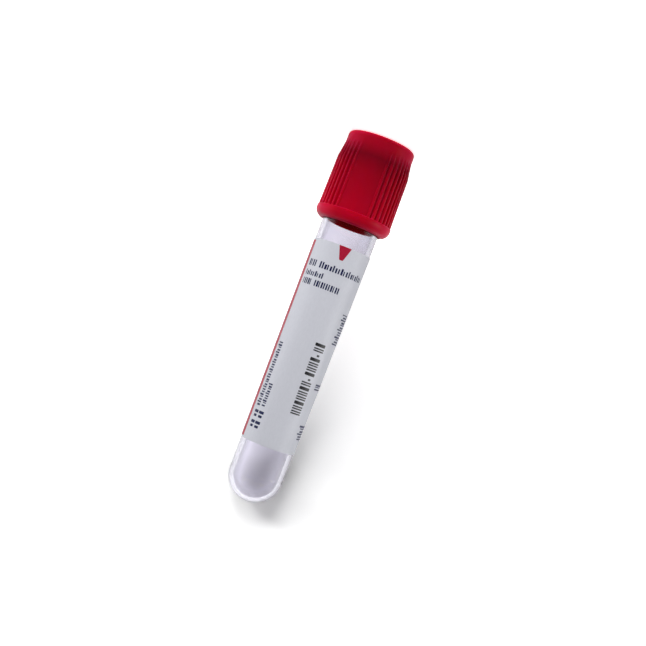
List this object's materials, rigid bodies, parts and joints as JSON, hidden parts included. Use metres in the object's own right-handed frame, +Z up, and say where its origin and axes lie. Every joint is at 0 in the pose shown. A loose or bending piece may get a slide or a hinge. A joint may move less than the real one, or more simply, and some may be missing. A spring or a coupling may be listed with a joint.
{
  "type": "blood collection tube",
  "caption": "Clear plastic blood collection tube with a round end, a paper label and a red pull-off safety cap over a rubber stopper, standing on its cap.",
  "frame": {"origin": "centre of the cap's flat top, which the tube stands on", "axes": "+Z up along the tube's axis, from the cap to the round end; -Y the front, towards the thumb panel and the label's print"},
  "size_m": [0.0168, 0.0168, 0.0832],
  "materials": {
    "clear_plastic": "clear moulded polyester, polished, with a faint lavender cast",
    "label_paper": "white satin paper with a red edge stripe, a red fill wedge and small dark print",
    "stopper_rubber": "dark red moulded rubber, satin",
    "red_plastic": "red moulded polypropylene, satin gloss"
  },
  "bodies": {
    "closure": {"stopper": "stopper_rubber", "shield": "red_plastic"},
    "tube": {"tube": "clear_plastic", "label": "label_paper"}
  },
  "joints": [
    {"name": "closure_pull", "type": "slide", "parent": "closure", "child": "tube", "axis": [0, 0, 1], "range_m": [0, 0.03]}
  ]
}
